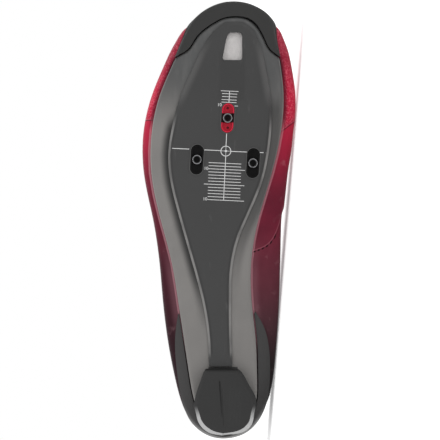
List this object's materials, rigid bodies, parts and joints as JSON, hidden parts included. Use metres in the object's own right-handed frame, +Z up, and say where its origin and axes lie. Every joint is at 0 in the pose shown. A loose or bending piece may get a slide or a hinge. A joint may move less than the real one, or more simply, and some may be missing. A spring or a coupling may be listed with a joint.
{
  "type": "cycling shoe",
  "caption": "Right road cycling shoe lying on its inner side: stiff grey sole with dark raised plate, sliding cleat nuts and heel pad, red hollow upper with three straps, tongue and insole.",
  "frame": {"origin": "middle of the bounding box, on the floor that the shoe lies on", "axes": "+X from heel to toe, -Y out of the sole, +Y towards the collar, +Z up to the outer side; the inner side lies on the floor"},
  "size_m": [0.2858, 0.0946, 0.0985],
  "materials": {
    "upper_red": "satin",
    "tongue_fabric": "matte",
    "strap_wine": "satin",
    "insole_black": "matte",
    "cup_grey": "matte",
    "bumper_dark": "matte",
    "frame_grey": "satin",
    "plate_dark": "satin",
    "vent_grey": "matte",
    "pad_rubber": "matte",
    "liner_red": "satin",
    "liner_black": "satin",
    "nut_steel": "satin"
  },
  "bodies": {
    "shoe": {"upper": "upper_red", "tongue": "tongue_fabric", "strap_rear": "strap_wine", "strap_middle": "strap_wine", "strap_front": "strap_wine", "insole": "insole_black", "heel_cup": "cup_grey", "toe_bumper": "bumper_dark", "outsole_frame": "frame_grey", "carbon_plate": "plate_dark", "toe_vent": "vent_grey", "heel_pad": "pad_rubber", "slot_liner_front": "liner_red", "slot_liner_rear_lateral": "liner_black", "slot_liner_rear_medial": "liner_black"},
    "nut_front": {"cleat_nut_front": "nut_steel"},
    "nut_rear_lateral": {"cleat_nut_rear_lateral": "nut_steel"},
    "nut_rear_medial": {"cleat_nut_rear_medial": "nut_steel"}
  },
  "joints": [
    {"name": "front_nut_slide", "type": "slide", "parent": "shoe", "child": "nut_front", "axis": [0.9998, -0.0009, 0.0185], "range_m": [-0.005, 0.005]},
    {"name": "rear_lateral_nut_slide", "type": "slide", "parent": "shoe", "child": "nut_rear_lateral", "axis": [0.9998, -0.0009, 0.0185], "range_m": [-0.005, 0.005]},
    {"name": "rear_medial_nut_slide", "type": "slide", "parent": "shoe", "child": "nut_rear_medial", "axis": [0.9998, -0.0009, 0.0185], "range_m": [-0.005, 0.005]}
  ]
}
